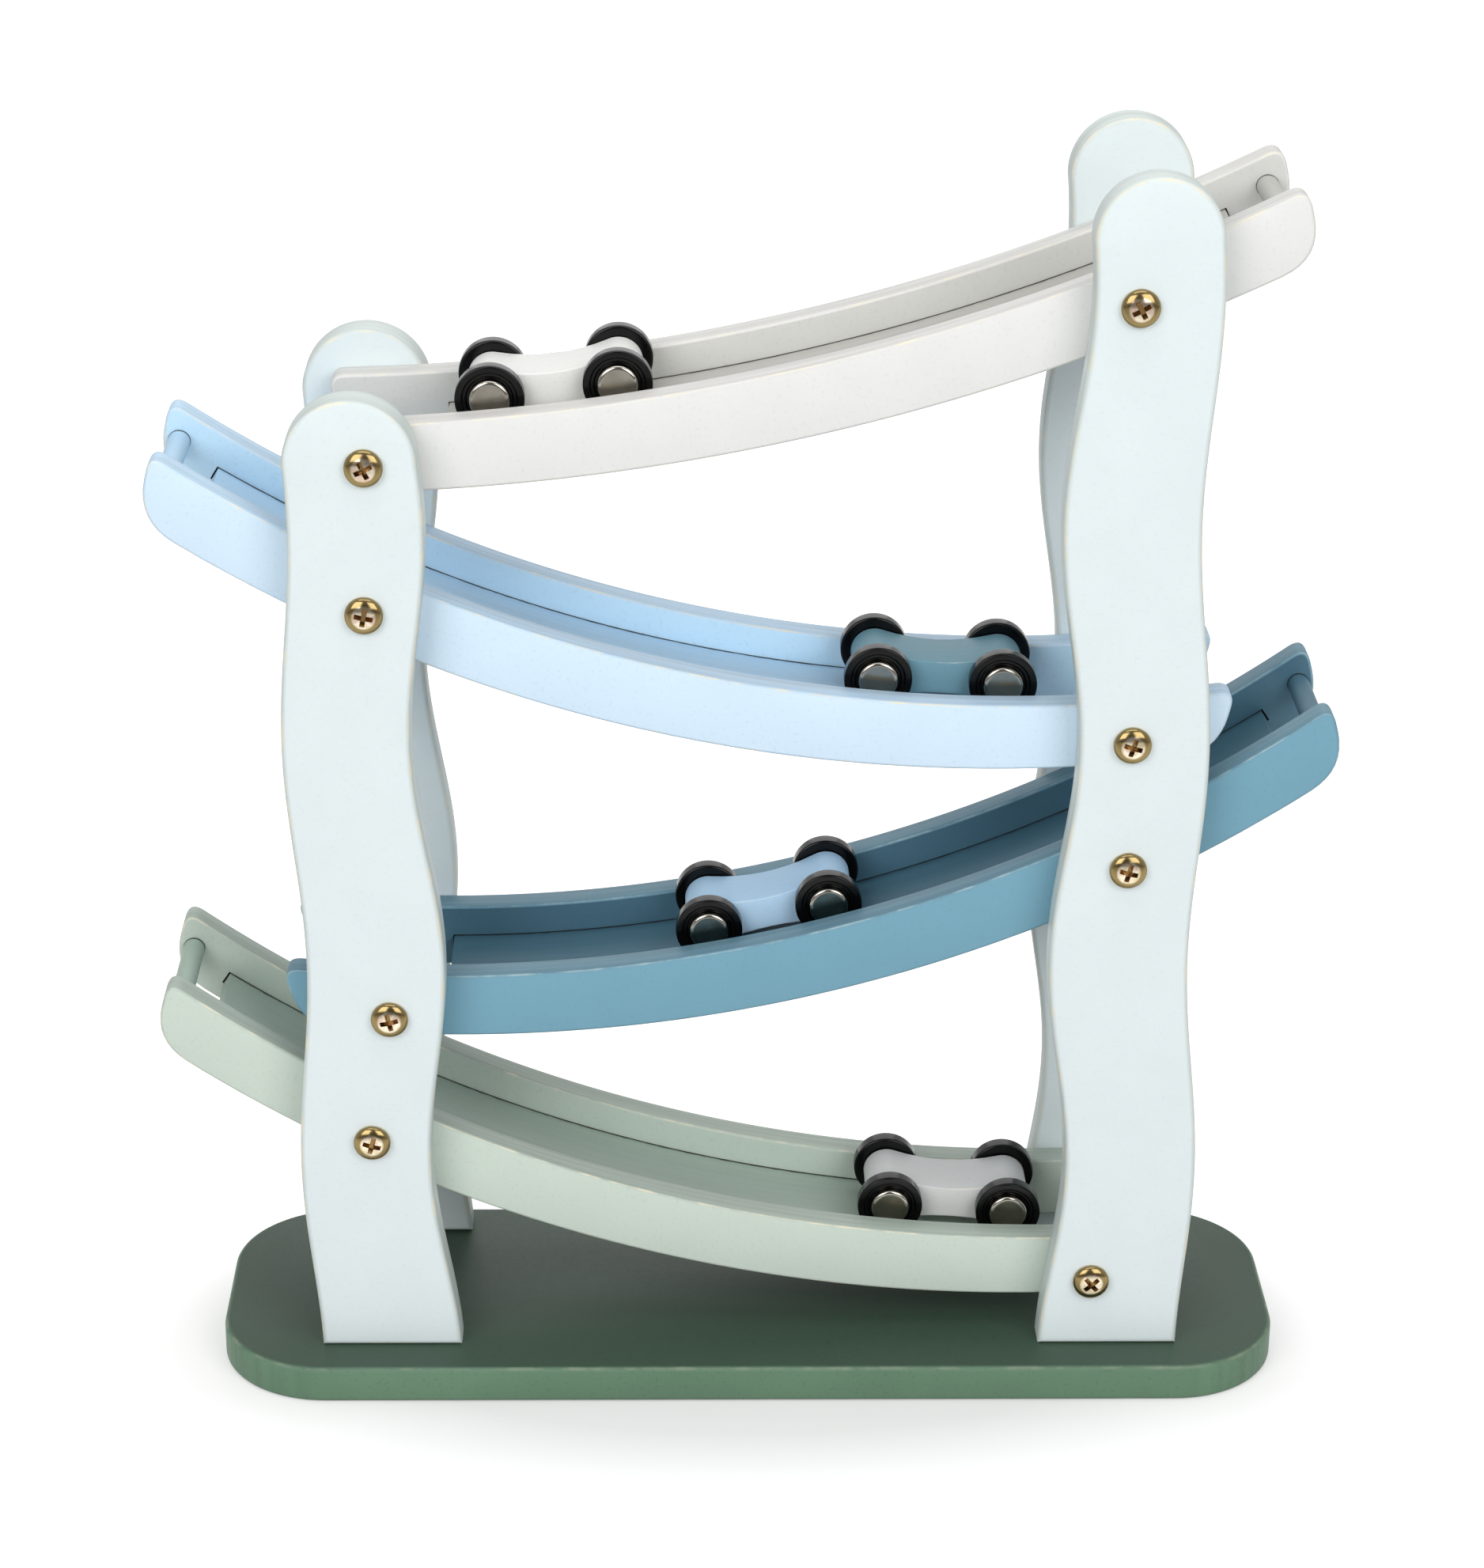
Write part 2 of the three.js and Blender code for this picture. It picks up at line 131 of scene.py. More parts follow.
def painted_wood(name, face, rim, wear, inside=None, seam=False, plies_show=0.1, specks_show=0.06):
    """Satin lacquer sprayed on sanded plywood.

    The faces are even with a faint mottle and fine specks of the spray. The sawn rims take a colour of their
    own, which is partly painted shade, greyer than the faces on most pieces, and show the plies as lines
    along the edge.
    The channel's inside takes a deeper colour, which is painted shade. The eased corners are rubbed through
    to a pale cream in places. A floor board also shows the dark rough joint where it enters the rails.
    """
    # Sizes in mm. The specks are drawn some four times coarser than real ones, so that they show.
    mottle_size, speck_size, ply_size, rub_size, joint_size = 14, 0.9, 1.6, 5, 2.5
    material, tree, shader, place = new_material(name, {"IOR": 1.48, "Specular IOR Level": 0.4})
    mottle = add(tree, "ShaderNodeTexNoise", {
        "Vector": place, "Scale": per_mm(mottle_size), "Detail": 3}).outputs["Fac"]
    specks = add(tree, "ShaderNodeTexNoise", {
        "Vector": place, "Scale": per_mm(speck_size), "Detail": 2}).outputs["Fac"]
    along = add(tree, "ShaderNodeMapping", {"Vector": place, "Scale": (0.03, 1, 0.03)}).outputs[0]
    plies = add(tree, "ShaderNodeTexNoise", {
        "Vector": along, "Scale": per_mm(ply_size), "Detail": 3}).outputs["Fac"]
    rubbed = add(tree, "ShaderNodeTexNoise", {
        "Vector": place, "Scale": per_mm(rub_size), "Detail": 4}).outputs["Fac"]

    shade = add(tree, "ShaderNodeMapRange", {
        "Value": mottle, "From Min": 0.3, "From Max": 0.7, "To Min": 0.985, "To Max": 1.012}).outputs[0]
    dots = add(tree, "ShaderNodeMapRange", {
        "Value": specks, "From Min": 0.3, "From Max": 0.42, "To Min": 1 - specks_show}).outputs[0]
    tone = add(tree, "ShaderNodeMath", {0: shade, 1: dots}, operation="MULTIPLY").outputs[0]
    # The channel's inside is painted in a deeper colour: painted shade.
    within = add(tree, "ShaderNodeAttribute", attribute_name="inner").outputs["Fac"]
    paint_and_inside_shade = add(tree, "ShaderNodeMix", {
        0: within, 6: linear(face), 7: linear(inside or face)}, data_type="RGBA").outputs[2]
    painted = add(tree, "ShaderNodeVectorMath", {0: paint_and_inside_shade, "Scale": tone}, operation="SCALE").outputs[0]

    lines = add(tree, "ShaderNodeMapRange", {
        "Value": plies, "From Min": 0.4, "From Max": 0.6,
        "To Min": 1 - plies_show, "To Max": 1 + plies_show / 3}).outputs[0]
    rim_tone = add(tree, "ShaderNodeMath", {0: lines, 1: dots}, operation="MULTIPLY").outputs[0]
    # The rims' own colour is partly painted shade.
    sawn = add(tree, "ShaderNodeVectorMath", {
        0: linear(rim)[:3], "Scale": rim_tone}, operation="SCALE").outputs[0]
    on_rim = add(tree, "ShaderNodeAttribute", attribute_name="rim").outputs["Fac"]
    colour = add(tree, "ShaderNodeMix", {0: on_rim, 6: painted, 7: sawn}, data_type="RGBA").outputs[2]

    corner = add(tree, "ShaderNodeAttribute", attribute_name="edge").outputs["Fac"]
    worn = add(tree, "ShaderNodeMath", {0: corner, 1: rubbed}, operation="MULTIPLY").outputs[0]
    mask = add(tree, "ShaderNodeMapRange", {
        "Value": worn, "From Min": 0.38, "From Max": 0.62, "To Max": 0.8}).outputs[0]
    colour = add(tree, "ShaderNodeMix", {0: mask, 6: colour, 7: linear(wear)}, data_type="RGBA").outputs[2]

    if seam:
        axes = add(tree, "ShaderNodeSeparateXYZ", {0: place}).outputs
        middle = TOWER["setback"] * MM
        off = add(tree, "ShaderNodeMath", {0: axes["Y"], 1: middle}, operation="SUBTRACT").outputs[0]
        off = add(tree, "ShaderNodeMath", {0: off}, operation="ABSOLUTE").outputs[0]
        ragged = add(tree, "ShaderNodeTexNoise", {
            "Vector": place, "Scale": per_mm(joint_size), "Detail": 4}).outputs["Fac"]
        ragged_by, joint_start, joint_end = 0.9, RAIL["inner"] - 0.3, RAIL["inner"] + 0.1
        reach = add(tree, "ShaderNodeMath", {
            0: ragged, 1: ragged_by * MM, 2: off}, operation="MULTIPLY_ADD").outputs[0]
        joint = add(tree, "ShaderNodeMapRange", {
            "Value": reach, "From Min": joint_start * MM, "From Max": joint_end * MM,
            "To Max": 0.9}).outputs[0]
        colour = add(tree, "ShaderNodeMix", {
            0: joint, 6: colour, 7: linear("#2E2A26")}, data_type="RGBA").outputs[2]

    tree.links.new(colour, shader.inputs["Base Color"])
    satin = add(tree, "ShaderNodeMapRange", {"Value": specks, "To Min": 0.4, "To Max": 0.58}).outputs[0]
    tree.links.new(satin, shader.inputs["Roughness"])
    ridges = add(tree, "ShaderNodeMath", {
        0: plies, 1: on_rim, 2: specks}, operation="MULTIPLY_ADD").outputs[0]
    bump = add(tree, "ShaderNodeBump", {
        "Strength": 0.25, "Distance": 0.06 * MM, "Height": ridges}).outputs[0]
    tree.links.new(bump, shader.inputs["Normal"])
    return material


def moulded_abs(name):
    """Black ABS moulded in a fine-spark mould: near black with a soft shine and faint mould marks."""
    material, tree, shader, place = new_material(name, {"IOR": 1.53, "Specular IOR Level": 0.25})
    # The marks, in mm, are drawn coarser than a mould's real ones, so that they show.
    mark_size = 0.7
    marks = add(tree, "ShaderNodeTexNoise", {
        "Vector": place, "Scale": per_mm(mark_size), "Detail": 3}).outputs["Fac"]
    black = add(tree, "ShaderNodeMix", {
        0: marks, 6: linear("#030303"), 7: linear("#080809")}, data_type="RGBA").outputs[2]
    tree.links.new(black, shader.inputs["Base Color"])
    dull = add(tree, "ShaderNodeMapRange", {"Value": marks, "To Min": 0.14, "To Max": 0.24}).outputs[0]
    tree.links.new(dull, shader.inputs["Roughness"])
    bump = add(tree, "ShaderNodeBump", {
        "Strength": 0.06, "Distance": 0.02 * MM, "Height": marks}).outputs[0]
    tree.links.new(bump, shader.inputs["Normal"])
    return material


def nickel_plated_steel(name):
    """Stamped steel, nickel plated and tumbled: bright, slightly warm, with faint rubbing marks."""
    material, tree, shader, place = new_material(name, {"Metallic": 1.0})
    rub_size = 1.8
    rub = add(tree, "ShaderNodeTexNoise", {
        "Vector": place, "Scale": per_mm(rub_size), "Detail": 4}).outputs["Fac"]
    tone = add(tree, "ShaderNodeMix", {
        0: rub, 6: linear("#98938A"), 7: linear("#B4AFA5")}, data_type="RGBA").outputs[2]
    tree.links.new(tone, shader.inputs["Base Color"])
    polish = add(tree, "ShaderNodeMapRange", {"Value": rub, "To Min": 0.06, "To Max": 0.15}).outputs[0]
    tree.links.new(polish, shader.inputs["Roughness"])
    return material


def yellow_passivated_zinc(name):
    """Zinc-plated steel dipped in yellow passivate.

    The thin passivate layer drifts from pale gold to pink and olive. The shoulder of the head is painted
    browner,
    and the recess darkest: both are painted shade.
    """
    material, tree, shader, place = new_material(name, {"Metallic": 1.0})
    film_size = 3.2
    film_and_shade = add(tree, "ShaderNodeTexNoise", {
        "Vector": place, "Scale": per_mm(film_size), "Detail": 2}).outputs["Fac"]
    ramp = add(tree, "ShaderNodeValToRGB", {0: film_and_shade})
    bands = (
        (0.30, "#C9C4A8"), (0.42, "#DDCBA8"), (0.52, "#F0E6D0"), (0.60, "#DEC0AE"), (0.70, "#CECAAC"),
    )
    stops = ramp.color_ramp.elements
    while len(stops) < len(bands):
        stops.new(0.5)
    for stop, (position, colour) in zip(stops, bands):
        stop.position = position
        stop.color = linear(colour)
    # The shoulder's brown is painted shade.
    rim = add(tree, "ShaderNodeAttribute", attribute_name="rim").outputs["Fac"]
    colour = add(tree, "ShaderNodeMix", {
        0: rim, 6: ramp.outputs[0], 7: linear("#8C7A52")}, data_type="RGBA").outputs[2]
    # The recess's dark brown is painted shade.
    recess = add(tree, "ShaderNodeAttribute", attribute_name="recess").outputs["Fac"]
    colour = add(tree, "ShaderNodeMix", {
        0: recess, 6: colour, 7: linear("#8A6C44")}, data_type="RGBA").outputs[2]
    tree.links.new(colour, shader.inputs["Base Color"])
    polish = add(tree, "ShaderNodeMapRange", {"Value": film_and_shade, "To Min": 0.1, "To Max": 0.22}).outputs[0]
    tree.links.new(polish, shader.inputs["Roughness"])
    return material


WEAR = "#E6DFC6"
# A finish's second colour, for its rims, carries painted shade on most pieces.
FINISHES = {
    # The base's top colour is darkened as painted shade, and its rim colour is lighter as painted light on
    # the front edge.
    "base_paint": painted_wood("dark_green_lacquer", "#384C3E", "#628269", "#7C8B76", specks_show=0.16),
    "post_paint": painted_wood("pale_mint_lacquer", "#DFE9EB", "#CBD5D2", WEAR, specks_show=0.03),
    # A ramp's fourth colour, for its channel's inside, is painted shade.
    "ramp_1_paint": painted_wood("white_lacquer", "#E4E4E2", "#D2D1CE", WEAR, "#D0D0CC", specks_show=0.05),
    "ramp_2_paint": painted_wood("light_blue_lacquer", "#D2E7F8", "#BAD4E9", WEAR, "#C4E4F9"),
    "ramp_3_paint": painted_wood("teal_lacquer", "#73A2B6", "#678C9C", "#A3BBC0", "#4C7285"),
    "ramp_4_paint": painted_wood("sage_lacquer", "#CAD6CB", "#AEBAAF", WEAR, "#C0CDC2"),
    "car_1_paint": painted_wood("white_car_lacquer", "#E6E6E3", "#E2E2DF", WEAR, plies_show=0.01),
    "car_2_paint": painted_wood("grey_teal_car_lacquer", "#6F9AAA", "#6D98A8", "#B9C6C4", plies_show=0.02),
    "car_3_paint": painted_wood("light_blue_car_lacquer", "#B9DAF4", "#B6D8F2", WEAR, plies_show=0.01),
    "car_4_paint": painted_wood("light_grey_car_lacquer", "#D8D9D8", "#D5D6D5", WEAR, plies_show=0.01),
    "wheel_black": moulded_abs("black_moulded_abs"),
    "steel": nickel_plated_steel("nickel_plated_steel"),
    "zinc": yellow_passivated_zinc("yellow_passivated_zinc"),
}
# The floors' colours, which the dowels take too, are darker than their ramps' faces: painted shade in the
# channels.
SHADED_FLOOR_FINISHES = (
    painted_wood("white_floor_lacquer_and_painted_shade", "#B8B8B3", "#B8B7B2", WEAR, seam=True, plies_show=0.03),
    painted_wood("light_blue_floor_lacquer_and_painted_shade", "#B0D0E8", "#B4D3EB", WEAR, seam=True, plies_show=0.03),
    painted_wood("teal_floor_lacquer_and_painted_shade", "#4A6F80", "#4C7283", "#A9C0C4", seam=True, plies_show=0.04),
    painted_wood("sage_floor_lacquer_and_painted_shade", "#A2B4A7", "#A8B8AC", WEAR, seam=True, plies_show=0.03),
)
# The groove's and the socket's walls are near black: painted shade in the holes.
GROOVE_SHADE_FINISH = painted_wood("groove_painted_shade", "#2B2622", "#2B2622", "#2B2622")


def new_piece(name, mesh, body, slot, replaced=(), finish=None):
    """A finished piece of the track: its mesh in place, its finish, and the body that it rides on."""
    piece = bpy.data.objects.new(name, mesh)
    bpy.context.scene.collection.objects.link(piece)
    if not any(mesh.materials):
        mesh.materials.clear()
        mesh.materials.append(finish or FINISHES[slot])
    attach(piece, body)
    if replaced:
        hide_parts(*replaced)
    return piece


def make_mesh(name, points, faces, flat=(), **attributes):
    """A closed mesh with its faces outwards; the flat faces keep their own shading."""
    mesh = bpy.data.meshes.new(name)
    mesh.from_pydata([Vector(p) * MM for p in points], [], faces)
    for key, values in attributes.items():
        mesh.attributes.new(key, "FLOAT", "POINT").data.foreach_set("value", values)
    mesh.polygons.foreach_set("use_smooth", [i not in flat for i in range(len(faces))])
    shell = bmesh.new()
    shell.from_mesh(mesh)
    bmesh.ops.recalc_face_normals(shell, faces=shell.faces)
    bmesh.ops.triangulate(shell, faces=[face for face in shell.faces if len(face.verts) > 4])
    shell.to_mesh(mesh)
    shell.free()
    mesh.set_sharp_from_angle(angle=SHARP)
    return mesh


def inset(outline, distance):
    """An outline drawn inwards by a distance, corner by corner."""
    before = outline - np.roll(outline, 1, axis=0)
    after = np.roll(outline, -1, axis=0) - outline
    normals = []
    for edge in (before, after):
        edge = edge / np.linalg.norm(edge, axis=1, keepdims=True)
        normals.append(np.stack([-edge[:, 1], edge[:, 0]], axis=1))
    total = normals[0] + normals[1]
    return outline + distance * 2 * total / np.sum(total * total, axis=1, keepdims=True)


def board(name, outline, near, far, ease, lying=False):
    """A board cut to an outline, with its edges eased; it stands in X and Z unless it is lying."""
    outline = np.array(outline)
    if np.sum(outline[:, 0] * np.roll(outline[:, 1], -1) - np.roll(outline[:, 0], -1) * outline[:, 1]) < 0:
        outline = outline[::-1]
    count = len(outline)
    turns = np.linspace(0, math.pi / 2, EASE_STEPS)
    rows = [(a, near + ease * (1 - math.cos(a))) for a in turns]
    rows += [(a, far - ease * (1 - math.cos(a))) for a in turns[::-1]]
    points, edge, rim = [], [], []
    for a, depth in rows:
        for u, v in inset(outline, ease * (1 - math.sin(a))):
            points.append((u, v, depth) if lying else (u, depth, v))
        edge += [math.sin(2 * a)] * count
        rim += [math.sin(a)] * count
    faces = []
    for row in range(len(rows) - 1):
        for i in range(count):
            j = (i + 1) % count
            faces.append((row * count + i, row * count + j, (row + 1) * count + j, (row + 1) * count + i))
    last = (len(rows) - 1) * count
    caps = {len(faces), len(faces) + 1}
    faces.append(tuple(range(count)))
    faces.append(tuple(range(last, last + count)))
    return make_mesh(name, points, faces, caps, edge=edge, rim=rim)


def turned(name, profile, closed=False, **row_values):
    """A piece turned about Y from rows of radius and depth; a radius of 0 is a pole.

    A row's value of an attribute goes to every point of its ring.
    """
    points, rings = [], []
    attributes = {key: [] for key in row_values}
    for row, (radius, depth) in enumerate(profile):
        start = len(points)
        count = TURN_STEPS if radius else 1
        for i in range(count):
            angle = 2 * math.pi * i / TURN_STEPS
            points.append((radius * math.cos(angle), depth, radius * math.sin(angle)))
        rings.append([start + i % count for i in range(TURN_STEPS)])
        for key, values in row_values.items():
            attributes[key] += [values[row]] * count
    pairs = list(zip(rings, rings[1:]))
    if closed:
        pairs.append((rings[-1], rings[0]))
    faces = []
    for low, high in pairs:
        for i in range(TURN_STEPS):
            j = (i + 1) % TURN_STEPS
            corners = (low[i], low[j], high[j], high[i])
            faces.append(tuple(dict.fromkeys(corners)))
    return make_mesh(name, points, faces, **attributes)


def moved(mesh, x=0.0, y=0.0, z=0.0, half_turn=False):
    """A mesh put in its place, turned half round the upright axis where asked."""
    turn = Matrix.Rotation(math.pi if half_turn else 0.0, 4, "Z")
    mesh.transform(Matrix.Translation(Vector((x, y, z)) * MM) @ turn)
    return mesh


def cut(mesh, *cutters):
    """A mesh with the cutters' shapes taken out of it."""
    stock = bpy.data.objects.new("stock", mesh)
    bpy.context.scene.collection.objects.link(stock)
    tools = []
    for cutter in cutters:
        tool = bpy.data.objects.new("tool", cutter)
        bpy.context.scene.collection.objects.link(tool)
        tools.append(tool)
        difference = stock.modifiers.new("cut", "BOOLEAN")
        difference.operation = "DIFFERENCE"
        difference.solver = "EXACT"
        difference.material_mode = "TRANSFER"
        difference.object = tool
    graph = bpy.context.evaluated_depsgraph_get()
    result = bpy.data.meshes.new_from_object(
        stock.evaluated_get(graph), preserve_all_data_layers=True, depsgraph=graph)
    for thing in (stock, *tools):
        bpy.data.objects.remove(thing)
    result.set_sharp_from_angle(angle=SHARP)
    return result


def curve(start, corner, end):
    """Points of a rounded corner, without its start."""
    steps = np.linspace(0, 1, ROUND_STEPS + 1)[1:, None]
    start, corner, end = np.array(start), np.array(corner), np.array(end)
    return (1 - steps) ** 2 * start + 2 * steps * (1 - steps) * corner + steps ** 2 * end


def soften(profile, cut_back):
    """A turned profile whose inner corners are rounded off, each over less than half of its sides."""
    longest_share = 0.45
    profile = [np.array(p, float) for p in profile]
    rows = [tuple(profile[0])]
    for before, corner, after in zip(profile, profile[1:], profile[2:]):
        ends = []
        for other in (before, after):
            run = np.linalg.norm(other - corner)
            ends.append(corner + (other - corner) * min(cut_back / run, longest_share))
        rows.append(tuple(ends[0]))
        rows += [tuple(p) for p in curve(ends[0], corner, ends[1])]
    rows.append(tuple(profile[-1]))
    return rows


def ramp_centre(ramp):
    return np.array((ramp["low_x"], TOWER["rise"] + ramp["height"] + ramp["radius"]))


def ramp_point(ramp, place, depth):
    """A place along the rail's top edge, and a depth square to it."""
    angle = -math.pi / 2 + ramp["uphill"] * place / ramp["radius"]
    return ramp_centre(ramp) + (ramp["radius"] + depth) * np.array((math.cos(angle), math.sin(angle)))


def upper_end(ramp):
    return ramp["lower"] + ramp["length"]


def screw_point(ramp, side_index):
    side = (-1, 1)[side_index]
    x = side * POST["spread"] + ramp["screw_shifts"][side_index]
    centre = ramp_centre(ramp)
    reach = ramp["radius"] + SCREW["drop"]
    return x, centre[1] - math.sqrt(reach ** 2 - (x - centre[0]) ** 2)


def rail_outline(ramp):
    """The top edge swept straight down, square to its chord, with rounded ends."""
    upper = upper_end(ramp)
    down = ramp_point(ramp, (ramp["lower"] + upper) / 2, 0) - ramp_centre(ramp)
    down = down / np.linalg.norm(down)
    small, large, height = RAIL["top_round"], RAIL["bottom_round"], RAIL["height"]
    low, high = ramp_point(ramp, ramp["lower"], 0), ramp_point(ramp, upper, 0)
    top = [ramp_point(ramp, p, 0) for p in np.linspace(ramp["lower"] + small, upper - small, ARC_STEPS)]
    bottom = [
        ramp_point(ramp, p, 0) + height * down
        for p in np.linspace(upper - large, ramp["lower"] + large, ARC_STEPS)
    ]
    side_end = height - large
    upper_side = curve(top[-1], high, high + small * down)
    upper_foot = curve(high + side_end * down, high + height * down, bottom[0])
    lower_foot = curve(bottom[-1], low + height * down, low + side_end * down)
    lower_side = curve(low + small * down, low, top[0])
    outline = np.vstack([
        top, upper_side, [high + side_end * down], upper_foot, bottom[1:], lower_foot,
        [low + small * down], lower_side[:-1],
    ])
    return inset(outline, RAIL["sanded"] * -ramp["uphill"])


def band_outline(ramp, start, end, top, bottom):
    """The band between two places and two depths of a ramp."""
    places = np.linspace(start, end, ARC_STEPS)
    return np.vstack([
        [ramp_point(ramp, p, top) for p in places],
        [ramp_point(ramp, p, bottom) for p in places[::-1]],
    ])


def post_outline(side_index):
    """Two waving edges that draw together from foot to head, under a round top; side 0 is the left."""
    side = (-1, 1)[side_index]
    headroom = HEADROOM[("left", "right")[side_index]]
    top = max(screw_point(ramp, side_index)[1] for ramp in RAMPS) - TOWER["rise"] + headroom
    shoulder = top - POST["head_width"] / 2

    def edge(height, half, wave):
        width = POST["foot_width"] + (POST["head_width"] - POST["foot_width"]) * height / shoulder
        sway = wave * math.cos(2 * math.pi * (height - POST["wave_crest"]) / POST["wave_pitch"])
        return side * (POST["spread"] + half * width / 2 - sway) + POST["lean"] * height

    heights = np.linspace(0, shoulder, ARC_STEPS)
    outer = [(edge(h, 1, POST["outer_wave"]), h) for h in heights]
    inner = [(edge(h, -1, POST["inner_wave"]), h) for h in heights]
    right, left = (outer, inner) if side > 0 else (inner, outer)
    middle = (right[-1][0] + left[-1][0]) / 2
    radius = (right[-1][0] - left[-1][0]) / 2
    crown = [
        (middle + radius * math.cos(a), shoulder + radius * math.sin(a))
        for a in np.linspace(0, math.pi, 6 * ROUND_STEPS)[1:-1]
    ]
    return np.vstack([right, crown, left[::-1]]) + np.array((0, TOWER["rise"]))


def car_outline():
    """Round ends about the axles, a hollow saddle above and a flatter arch below."""
    half, radius = CAR["wheelbase"] / 2, CAR["end_radius"]
    saddle, arch = math.radians(CAR["saddle_angle"]), math.radians(CAR["arch_angle"])

    def waist(angle):
        return (radius - half * math.sin(angle)) / math.cos(angle)

    def end(side):
        turns = np.linspace(math.pi / 2 + saddle, -math.pi / 2 - arch, 4 * ROUND_STEPS)
        return np.array([(side * (half + radius * math.cos(a)), radius * math.sin(a)) for a in turns])

    right, left = end(1), end(-1)[::-1]
    below = curve(right[-1], (0, -waist(arch)), left[0])[:-1]
    above = curve(left[-1], (0, waist(saddle)), right[0])[:-1]
    return np.vstack([right, below, left, above])


def on_ramp(ramp, points):
    """Points of a car's own side view, put on its ramp."""
    half = CAR["wheelbase"] / 2
    reach = ramp["radius"] + FLOOR["drop"] - WHEEL["radius"] - FIT
    turn = -ramp["uphill"] * ramp["car_place"] / ramp["radius"]
    hang = -math.sqrt(reach ** 2 - half ** 2)
    x, z = np.array(points)[:, 0], np.array(points)[:, 1] + hang
    along = x * math.cos(turn) + z * math.sin(turn)
    above = z * math.cos(turn) - x * math.sin(turn)
    return np.stack([along, above], axis=1) + ramp_centre(ramp)


def mark_inner(rail):
    """Marks the points on a rail's channel side, also those that the cuts made; they take the inside's
    painted shade.
    """
    slack = 0.01
    reach = RAIL["inner"] + slack
    inner = [float(abs(point.co.y / MM - TOWER["setback"]) < reach) for point in rail.vertices]
    rail.attributes.new("inner", "FLOAT", "POINT").data.foreach_set("value", inner)
    return rail


def base_mesh():
    """The base board with its countersunk holes."""
    x, y, radius = BASE["length"] / 2 - BASE["corner"], BASE["depth"] / 2 - BASE["corner"], BASE["corner"]
    outline = []
    for quarter, (sx, sy) in enumerate(((1, 1), (-1, 1), (-1, -1), (1, -1))):
        for a in np.linspace(quarter, quarter + 1, 3 * ROUND_STEPS) * math.pi / 2:
            outline.append((sx * x + radius * math.cos(a), sy * y + radius * math.sin(a)))
    stock = board("base_board", outline, 0, BASE["thickness"], BASE["edge"], lying=True)
    cutters = []
    for place in base_screw_points():
        over = 1
        cone = turned("countersink", [
            (0, -over), (BASE["countersink"] + over, -over),
            (BASE["screw_hole"], BASE["countersink"] - BASE["screw_hole"]),
            (BASE["screw_hole"], BASE["thickness"] - over), (0, BASE["thickness"] - over),
        ])
        cone.transform(Matrix.Rotation(math.pi / 2, 4, "X"))
        cutters.append(moved(cone, *place))
    return cut(stock, *cutters)


def base_screw_points():
    reach = RAIL["outer"] + POST["thickness"] / 2
    return [(sx * POST["spread"], sy * reach + TOWER["setback"], 0) for sx in (-1, 1) for sy in (-1, 1)]


def cross_cutters(crown):
    """The two tapered blades of a cross recess that opens at the given depth."""
    corners = ((1, 1), (-1, 1), (-1, -1), (1, -1))
    span, width = SCREW["cross_span"] / 2, SCREW["cross_width"] / 2
    foot_span, foot_width = span * SCREW["cross_taper"], width * SCREW["cross_thinner"]
    faces = [(0, 1, 2, 3), (4, 5, 6, 7)] + [(i, (i + 1) % 4, 4 + (i + 1) % 4, 4 + i) for i in range(4)]
    cutters = []
    for turn in (0, math.pi / 2):
        mouth = [(sx * span, crown - SCREW["cross_over"], sz * width) for sx, sz in corners]
        floor = [(sx * foot_span, crown + SCREW["cross_depth"], sz * foot_width) for sx, sz in corners]
        blade = make_mesh("cross_blade", mouth + floor, faces, set(range(6)))
        blade.transform(Matrix.Rotation(turn, 4, "Y"))
        cutters.append(blade)
    return cutters


def mark_recess(head, crown_at):
    """Marks the points that lie in the cross recess, below the crown's surface; they take painted shade."""
    shallowest, deepest = 0.15, SCREW["cross_depth"] + 0.1
    inside = []
    for point in head.vertices:
        x, depth, z = point.co / MM
        reach = math.hypot(x, z)
        below = depth - crown_at(reach)
        inside.append(float(reach < SCREW["cross_span"] / 2 and shallowest < below < deepest))
    head.attributes.new("recess", "FLOAT", "POINT").data.foreach_set("value", inside)
    return head


def pan_head_screw():
    """A domed pan head with a cross recess, its seat at depth 0 and its shank to the back."""
    radius, height, side = SCREW["head_radius"], SCREW["head_height"], SCREW["side_height"]
    turns = np.linspace(0, math.pi / 2, 2 * ROUND_STEPS)
    dome = [(radius * math.sin(a), -side - (height - side) * math.cos(a)) for a in turns]
    shank, length, foot = SCREW["shank_radius"], SCREW["length"], SCREW["foot"]
    below = [(radius, -foot), (radius - foot, 0), (shank, 0), (shank, length), (0, length)]
    # The shoulder is marked for its painted shade.
    film_and_shade = np.clip((np.sin(turns) - SCREW["shoulder_shade_start"]) / SCREW["shoulder_shade_run"], 0, 1).tolist()
    film_and_shade += [0.0] * len(below)
    head = cut(turned("pan_head_screw", dome + below, rim=film_and_shade), *cross_cutters(-height))
    return mark_recess(head, lambda r: -side - (height - side) * math.sqrt(max(0.0, 1 - (r / radius) ** 2)))


def flat_head_screw():
    """A flat countersunk head with a cross recess, its rim at depth 0 and its shank to the back."""
    radius, shank, length = BASE_SCREW["head_radius"], BASE_SCREW["shank_radius"], BASE_SCREW["length"]
    lip = SCREW["foot"]
    profile = [
        (0, 0), (radius - lip, 0), (radius, lip), (shank, radius - shank), (shank, length), (0, length),
    ]
    # The flat head's rim is marked for its painted shade.
    film_and_shade = [0.0, 0.6, 1.0, 0.0, 0.0, 0.0]
    head = cut(turned("flat_head_screw", profile, rim=film_and_shade), *cross_cutters(0))
    return mark_recess(head, lambda r: 0.0)


